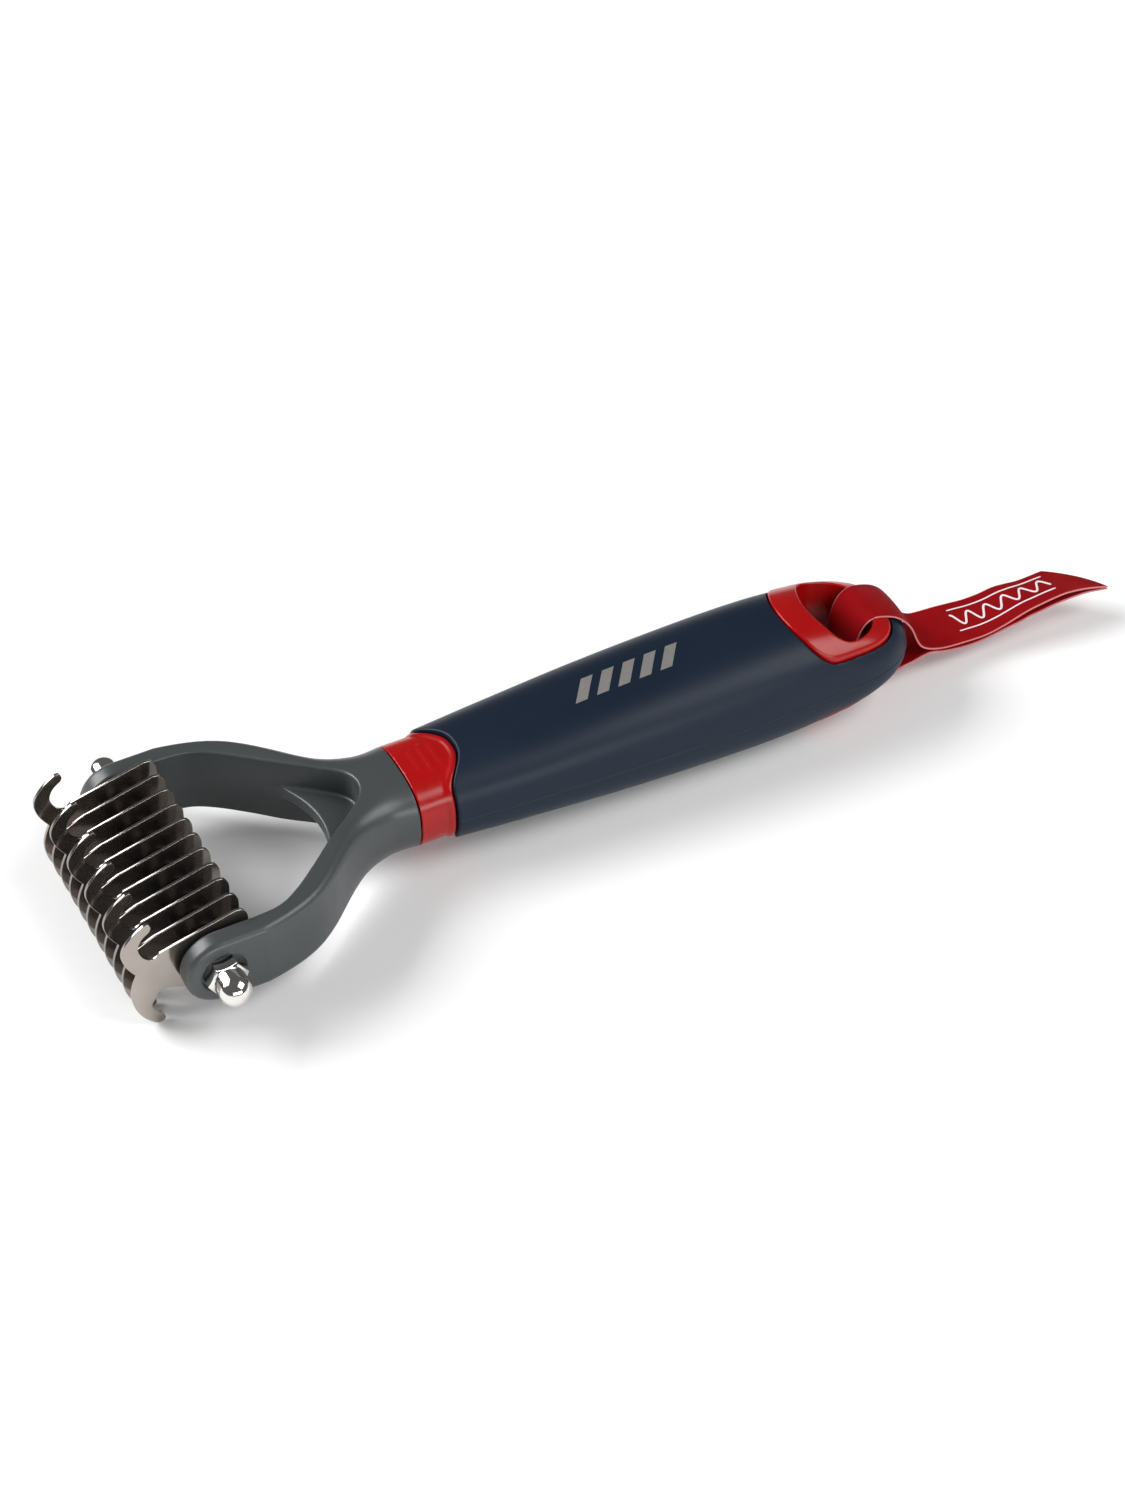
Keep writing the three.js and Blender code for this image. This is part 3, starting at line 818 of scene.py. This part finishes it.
def blade_outline(has_upper_hook):
    outline = Outline((3.1, -11.4)).spline((4.7, -11.6), (6.2, -10.4), (6.8, -8.6))
    outline.line((8.2, 5.9)).spline((8.1, 8.4), (7.1, 10.2), (5.3, 10.6))
    if has_upper_hook:
        outline.line((-11.6, 6.2))
        outline.spline((-13.3, 5), (-15.2, 6.4), (-16.2, 9.2), (-15.3, 11.7), (-13.4, 13.3))
        outline.spline((-13, 14.3), (-13.5, 15.5), (-14.6, 15.5))
        outline.spline((-17.2, 13.6), (-19.4, 10.9), (-19.9, 8.2), (-19, 5), (-17.1, 1.8))
    else:
        outline.line((-10.6, 6.2)).spline((-12.6, 5.2), (-15.4, 3.6), (-17.1, 1.8))
    outline.spline((-18.2, -0.9), (-18.7, -3.9), (-18.1, -7.8), (-16.5, -11.2), (-14.3, -13.7))
    outline.spline((-13.3, -14.15), (-12.2, -13.9), (-11.8, -13), (-12.3, -11.8))
    outline.spline((-13.6, -10.4), (-14.4, -8.4), (-13.5, -6.6), (-12.4, -5), (-10.8, -4.6))
    return outline.spline((-9.4, -5), (-7.4, -6)).array()


def plate_mesh(name, outline, hole_radius, thickness, edge):
    """A flat plate with rounded edges and a round hole, standing in the XZ plane, in millimetres."""
    curve = bpy.data.curves.new(name, "CURVE")
    curve.dimensions = "2D"
    curve.fill_mode = "BOTH"
    curve.extrude = thickness / 2 - edge
    curve.bevel_depth = edge
    curve.bevel_resolution = 2
    curve.offset = -edge
    turn = np.linspace(0, 2 * math.pi, 48, endpoint=False)
    hole = hole_radius * np.stack([np.cos(turn), np.sin(turn)], 1)
    for ring in (outline, hole):
        path = curve.splines.new("POLY")
        path.points.add(len(ring) - 1)
        path.points.foreach_set("co", np.c_[ring, np.zeros(len(ring)), np.ones(len(ring))].ravel())
        path.use_cyclic_u = True
    maker = bpy.data.objects.new(name, curve)
    bpy.context.scene.collection.objects.link(maker)
    bpy.context.view_layer.update()
    evaluated = maker.evaluated_get(bpy.context.evaluated_depsgraph_get())
    mesh = bpy.data.meshes.new_from_object(evaluated)
    bpy.data.objects.remove(maker)
    bpy.data.curves.remove(curve)
    return mesh


def finish_plate(mesh, y):
    """Merges a plate's seams, stands it up at y, and moves it into the frame's metres."""
    work = bmesh.new()
    work.from_mesh(mesh)
    bmesh.ops.remove_doubles(work, verts=work.verts, dist=0.002)
    bmesh.ops.dissolve_degenerate(work, edges=work.edges, dist=0.001)
    for face in work.faces:
        face.smooth = abs(face.normal.z) < 0.98
        face.material_index = 0 if abs(face.normal.z) > 0.98 else 1
    work.transform(Matrix.Rotation(math.pi / 2, 4, "X"))
    work.transform(Matrix.Translation((0, y, 0)))
    work.transform(Matrix.Translation(Vector(AXLE)) @ Matrix.Scale(MM, 4))
    bmesh.ops.recalc_face_normals(work, faces=work.faces)
    work.to_mesh(mesh)
    work.free()
    return mesh


def make_blades(inner_steel_painted_shade, outer_steel, edge):
    for i in range(BLADE_COUNT):
        number = f"{i + 1:02d}"
        y = BLADE_PITCH * ((BLADE_COUNT - 1) / 2 - i)
        outline = blade_outline(i % 2 == 0)
        mesh = plate_mesh(f"rake_blade_{number}", outline, BORE_RADIUS, BLADE_THICKNESS, 0.13)
        mesh = finish_plate(mesh, y)
        mesh.materials.clear()
        # The inner blades take the same steel made darker: painted shade of the narrow gaps between the
        # blades.
        mesh.materials.append(outer_steel if i in (0, BLADE_COUNT - 1) else inner_steel_painted_shade)
        # The rounded edges take the near-white material, a painted highlight along each blade's edge.
        mesh.materials.append(edge)
        blade = bpy.data.objects.new(f"rake_blade_{number}", mesh)
        bpy.context.scene.collection.objects.link(blade)
        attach(blade, PACK)
        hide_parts(f"blade_{number}")


def make_spacers(material):
    half_length = (BLADE_PITCH - BLADE_THICKNESS) / 2 - SEAT_GAP
    for i in range(BLADE_COUNT - 1):
        number = f"{i + 1:02d}"
        y = BLADE_PITCH * ((BLADE_COUNT - 2) / 2 - i)
        section = rounded_profile(BORE_RADIUS, SPACER_RADIUS, y - half_length, y + half_length, 0.2)
        new_piece(
            f"spacer_tube_{number}", *turned_mesh(section), material, PACK, "spacer_steel",
            [f"spacer_{number}"],
        )


def make_washers(material):
    near = BLADE_PITCH * (BLADE_COUNT - 1) / 2 + BLADE_THICKNESS / 2 + SEAT_GAP
    far = ARM_INSIDE - SEAT_GAP
    for side, name in ((1, "left"), (-1, "right")):
        low, high = sorted((side * near, side * far))
        section = rounded_profile(BORE_RADIUS, WASHER_RADIUS, low, high, 0.15)
        new_piece(
            f"plain_washer_{name}", *turned_mesh(section), material, PACK, "spacer_steel",
            [f"washer_{name}"],
        )


def make_axle(material):
    end, centre = AXLE_HALF_LENGTH, 0.02
    section = rounded_profile(centre, AXLE_RADIUS, -end, end, 0.3)
    section = [(max(r, centre), y) for r, y in section]
    new_piece("axle_pin", *turned_mesh(section), material, HANDLE, "chrome", ["axle"])


def nut_solid(side):
    """A cap nut on the side of the yoke that side says, 1 or -1."""
    turned, slope, chamfer_radius = 34, math.cos(math.radians(30)), 3.75
    flats = [math.radians(turned + 60 * i) for i in range(3)]

    def distance(x, y, z):
        height = side * y - NUT_SEAT
        from_axle = np.hypot(x, z)
        hexagon = -np.inf
        for angle in flats:
            across = np.abs(x * math.cos(angle) + z * math.sin(angle)) - NUT_ACROSS_FLATS / 2
            hexagon = np.maximum(hexagon, across)
        chamfer = (height - NUT_HEX_HEIGHT) * slope + (from_axle - chamfer_radius) / 2
        hexagon = meet(meet(hexagon, chamfer, 0.1), np.maximum(-height, height - NUT_HEX_HEIGHT), 0.08)
        dome_centre = NUT_HEIGHT - NUT_DOME_RADIUS
        dome = np.hypot(from_axle, np.maximum(height - dome_centre, 0)) - NUT_DOME_RADIUS
        whole = join(hexagon, np.maximum(dome, 1 - height), 0.3)
        bore = np.maximum(from_axle - BORE_RADIUS, height - NUT_BORE_DEPTH)
        return cut(whole, bore)

    return distance


def make_nuts(material):
    for side, name in ((1, "left"), (-1, "right")):
        low, high = sorted((side * (NUT_SEAT - 0.3), side * (NUT_SEAT + NUT_HEIGHT + 0.3)))
        radial = steps((-4.9, 4.9, 0.12))
        mesh = solid_mesh(nut_solid(side), radial, steps((low, high, 0.12)), radial)
        new_piece(f"acorn_nut_{name}", *mesh, material, HANDLE, "chrome", [f"cap_nut_{name}"])


# ---- ribbon ----------------------------------------------------------------------------------------------

STRIP_THICKNESS = 0.42

# The strip from its upper cut end to its lower one, seen from the side: x, z on the -Y edge, z on the +Y
# edge, and how much its middle stands above a straight line between the edges.
STRIP_ROUTE = [
    (232.5, -7.25, -6.9, 0), (226.7, -5.45, -7.0, -0.1), (221.6, -4.6, -7.15, 0), (217.8, -4.75, -7.4, 0.2),
    (214.5, -5.2, -7.45, 0.2), (211, -5.8, -6.95, 0.1), (207.9, -6.75, -6.65, -0.1),
    (204, -7.95, -7.15, -0.1), (200, -8.75, -7.2, 0.1), (196, -8.75, -6.75, 0.2), (192, -8.5, -6.25, 0.1),
    (188.6, -8.1, -6.0, 0),
    (185.6, -7.25, -5.6, 0.1), (183.4, -6.1, -4.4, 0.2), (181.9, -4.6, -2.9, 0.3), (180.7, -2.2, -0.6, 0.4),
    (179.7, 0.4, 1.4, 0.5), (178.6, 2.5, 3.3, 0.7), (176.8, 4.9, 5.7, 0.9), (174.4, 7.0, 7.6, 0.9),
    (171.5, 8.4, 8.8, 0.9), (169.0, 9.0, 9.2, 0.9), (167.0, 8.2, 8.4, 0.9), (165.4, 5.8, 6.1, 0.5),
    (164.4, 2.0, 2.2, 0), (164.2, -3.0, -3.0, 0), (165.2, -7.2, -7.2, -0.4), (168, -9.9, -9.9, -0.8),
    (172, -10.2, -10.2, -0.8), (176, -9.6, -9.7, -0.6), (180, -8.9, -9.1, -0.4), (184.6, -8.05, -7.7, -0.1),
    (188.4, -9.1, -7.7, 0), (192.8, -9.9, -7.9, 0), (196.1, -10.1, -8.1, 0), (200.1, -9.85, -8.3, 0),
    (204.8, -9.0, -8.0, 0), (208.7, -8.4, -7.6, 0), (211.4, -7.75, -7.8, 0.1), (214.7, -7.35, -8.2, 0.2),
    (218, -6.85, -8.1, 0.2), (222.1, -6.6, -7.85, 0), (226.9, -6.7, -7.7, -0.1), (232.5, -7.8, -7.6, 0),
]


class Strip:
    """The ribbon's middle surface, by distance along it and place across it from -1 to 1."""

    def __init__(self, route, per_span=10):
        first = np.array(route[:1], float)
        knots = np.vstack([first, spline(route, per_span)])
        lengths = np.hypot(np.diff(knots[:, 0]), np.diff(knots[:, 1:3].mean(1)))
        self.marks = np.concatenate([[0], np.cumsum(lengths)])
        self.knots = knots
        self.length = self.marks[-1]

    def at(self, along, across):
        """Points of the surface."""
        x, near, far, crown = (np.interp(along, self.marks, self.knots[:, i]) for i in range(4))
        z = near + (far - near) * (across + 1) / 2 + crown * (1 - across**2)
        return np.stack([x + 0 * across, across * RIBBON_WIDTH / 2 + 0 * x, z], -1)

    def end_trim(self, across):
        """How much each end is shorter than on the -Y edge. The cut ends slant."""
        return (FLAG_LONG_EDGE_END - FLAG_SHORT_EDGE_END) * (across + 1) / 2

    def point(self, share, across):
        """share runs from 0 to 1 between the two slanted cuts."""
        trim = self.end_trim(across)
        return self.at(trim + share * (self.length - 2 * trim), across)

    def lifted(self, share, across, height):
        """The point at a height above the surface, on the side that faces up on the flag's upper layer."""
        step = 1e-3
        along = self.point(share + step, across) - self.point(share - step, across)
        sideways = self.point(share, across + step) - self.point(share, across - step)
        normal = np.cross(sideways, along)
        normal /= np.linalg.norm(normal, axis=-1, keepdims=True)
        return self.point(share, across) + normal * np.asarray(height)[..., None]


def strip_section():
    """The strip's section as (place across, height) pairs: flat, with a round bead along each edge."""
    bead = 0.2
    inset = 2 * bead / RIBBON_WIDTH * 1.2
    flat = np.linspace(-1 + inset, 1 - inset, 21)
    top = [(a, STRIP_THICKNESS / 2) for a in flat]
    turn = np.radians(np.linspace(150, -150, 9))
    right = [(1 - inset / 2 + inset / 2 * math.cos(t), bead * math.sin(t)) for t in turn]
    bottom = [(a, -STRIP_THICKNESS / 2) for a in flat[::-1]]
    left = [(-a, h) for a, h in right[::-1]]
    return np.array(top + right + bottom + left), len(flat), len(turn)


def make_ribbon(weave, selvedge):
    strip = Strip(STRIP_ROUTE)
    section, flat, turn = strip_section()
    rows, columns = 420, len(section)
    share = np.linspace(0, 1, rows)[:, None]
    across, height = np.broadcast_to(section[:, 0], (rows, columns)), section[:, 1]
    vertices = strip.lifted(share, across, np.broadcast_to(height, (rows, columns))).reshape(-1, 3)
    faces = [face[::-1] for face in grid_faces(rows, columns, closed_columns=True)]
    ends = [tuple(reversed(range(columns))), tuple((rows - 1) * columns + i for i in range(columns))]
    ribbon = new_piece("ribbon_strip", vertices, faces + ends, weave, None, "ribbon_fabric")
    ribbon.data.materials.append(selvedge)
    beads = set(range(flat - 1, flat + turn)) | set(range(2 * flat + turn - 1, columns))
    index = [1 if i % columns in beads else 0 for i in range(len(faces))] + [1, 1]
    ribbon.data.polygons.foreach_set("material_index", index)
    uv = ribbon.data.uv_layers.new(name="UVMap")
    places = np.stack([
        np.repeat(share[:, 0] * strip.length, columns) * MM,
        np.tile(section[:, 0] * RIBBON_WIDTH / 2, rows) * MM,
    ], 1)
    corners = np.zeros(len(ribbon.data.loops), np.int32)
    ribbon.data.loops.foreach_get("vertex_index", corners)
    uv.data.foreach_set("uv", places[corners].ravel())
    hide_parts("ribbon_loop", "ribbon_flag")
    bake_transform(ribbon)
    return strip


def thread_mesh(path, radius, sides=8):
    """A closed tube along a path of points."""
    path = np.array(path, float)
    along = np.gradient(path, axis=0)
    along /= np.linalg.norm(along, axis=1, keepdims=True)
    side = np.cross(along, (0, 0, 1))
    side /= np.linalg.norm(side, axis=1, keepdims=True)
    up = np.cross(side, along)
    turn = np.linspace(0, 2 * math.pi, sides, endpoint=False)
    taper = np.ones(len(path))
    taper[[0, -1]] = 0.35
    ring = side[:, None] * np.cos(turn)[:, None] * 1.15 + up[:, None] * np.sin(turn)[:, None] * 0.6
    vertices = (path[:, None] + ring * radius * taper[:, None, None]).reshape(-1, 3)
    faces = grid_faces(len(path), sides, closed_columns=True)
    ends = [tuple(range(sides)), tuple((len(path) - 1) * sides + i for i in reversed(range(sides)))]
    return vertices, faces + ends


def make_stitching(strip, material):
    """A plain zigzag between two straight lines, sewn in white on the flag's upper layer."""
    height = STRIP_THICKNESS / 2 + 0.06
    start, end = 12.5, 38.5

    def on_strip(along, across):
        trim = strip.end_trim(across)
        share = (along - trim) / (strip.length - 2 * trim)
        return strip.lifted(share, across, height + 0 * along)

    along = np.linspace(start, end, 200)
    wave = np.abs((along / 2.4) % 2 - 1) * 2 - 1
    zigzag = on_strip(along, 0.08 + 0.28 * np.sin(wave * math.pi / 2))
    lower = on_strip(along[::2], np.full(100, -0.46))
    upper = on_strip(along[::2], np.full(100, 0.62))
    for name, path, radius in (("zigzag", zigzag, 0.24), ("lower", lower, 0.17), ("upper", upper, 0.17)):
        new_piece(
            f"ribbon_stitch_{name}", *thread_mesh(path, radius), material, RIBBON_END, "ribbon_fabric"
        )


# ---- scene -----------------------------------------------------------------------------------------------


def make_floor():
    n = Nodes("studio_floor")
    n.colour(n.tint(n.noise(300, detail=2), (0.86, 0.86, 0.86), (0.88, 0.88, 0.88)))
    n.set(Roughness=0.9, Specular_IOR_Level=0.1)
    mesh = bpy.data.meshes.new("floor")
    half, drop = 4, 0.0002
    corners = [(-half, -half, 0), (half, -half, 0), (half, half, 0), (-half, half, 0)]
    mesh.from_pydata(corners, [], [(0, 1, 2, 3)])
    mesh.materials.append(n.material)
    floor = bpy.data.objects.new("floor", mesh)
    floor.location.z = -drop
    bpy.context.scene.collection.objects.link(floor)


def softbox(name, direction, distance, size, strength, colour=(1, 1, 1)):
    """A rectangular area light that faces the frame's origin."""
    light = bpy.data.lights.new(name, "AREA")
    light.shape = "RECTANGLE"
    light.size, light.size_y = size
    light.energy = strength
    light.color = colour
    lamp = bpy.data.objects.new(name, light)
    aim = Vector(direction).normalized()
    lamp.location = aim * distance
    lamp.rotation_mode = "QUATERNION"
    lamp.rotation_quaternion = aim.to_track_quat("Z", "Y")
    bpy.context.scene.collection.objects.link(lamp)


def make_lights():
    softbox("key_softbox", (0.52, -0.42, 0.74), 1.2, (0.85, 0.7), 9.5)
    softbox("back_softbox", (-0.62, 0.50, 0.60), 1.2, (0.8, 0.7), 18)
    softbox("front_softbox", (-0.10, -0.92, 0.28), 1.4, (1.5, 0.35), 11)
    world = bpy.data.worlds.new("studio")
    world.use_nodes = True
    world.node_tree.nodes["Background"].inputs["Color"].default_value = (1, 1, 1, 1)
    world.node_tree.nodes["Background"].inputs["Strength"].default_value = 0.12
    bpy.context.scene.world = world


def make_camera():
    """It stands back from the axle's centre, then moves aside and up without turning."""
    azimuth, elevation = math.radians(-27.02), math.radians(44.16)
    distance, aside, above = 800, 83.43, 27.03
    level = math.cos(elevation)
    back = Vector((math.sin(azimuth) * level, -math.cos(azimuth) * level, math.sin(elevation)))
    right = Vector((math.cos(azimuth), math.sin(azimuth), 0))
    up = back.cross(right)
    data = bpy.data.cameras.new("camera")
    data.sensor_width = 36
    data.lens = 90.87
    data.clip_start, data.clip_end = 0.05, 20
    camera = bpy.data.objects.new("camera", data)
    place = back * distance + right * aside + up * above
    turn = Matrix((right, up, back)).transposed().to_4x4()
    camera.matrix_world = Matrix.Translation(place * MM + Vector(AXLE)) @ turn
    bpy.context.scene.collection.objects.link(camera)
    bpy.context.scene.camera = camera


make_camera()
make_lights()
make_floor()
make_yoke(yoke_plastic())
make_core(core_plastic())
make_grip(grip_rubber())
make_grip_print(silver_ink())
make_blades(
    # The first steel is the blades' steel made darker as painted shade of the gaps between them; the second
    # is the outer blades' own colour.
    blade_steel("blade_steel_painted_shade", (0.275, 0.245, 0.228), (0.295, 0.268, 0.252)),
    blade_steel("blade_steel", (0.365, 0.325, 0.295), (0.40, 0.36, 0.33)),
    blade_edge_painted_highlight(),
)
make_spacers(spacer_steel())
make_washers(spacer_steel())
make_axle(nickel_plate())
make_nuts(nickel_plate())
ribbon_strip = make_ribbon(ribbon_weave(), selvedge_thread())
make_stitching(ribbon_strip, stitch_thread())
bpy.context.scene.view_settings.view_transform = "Standard"
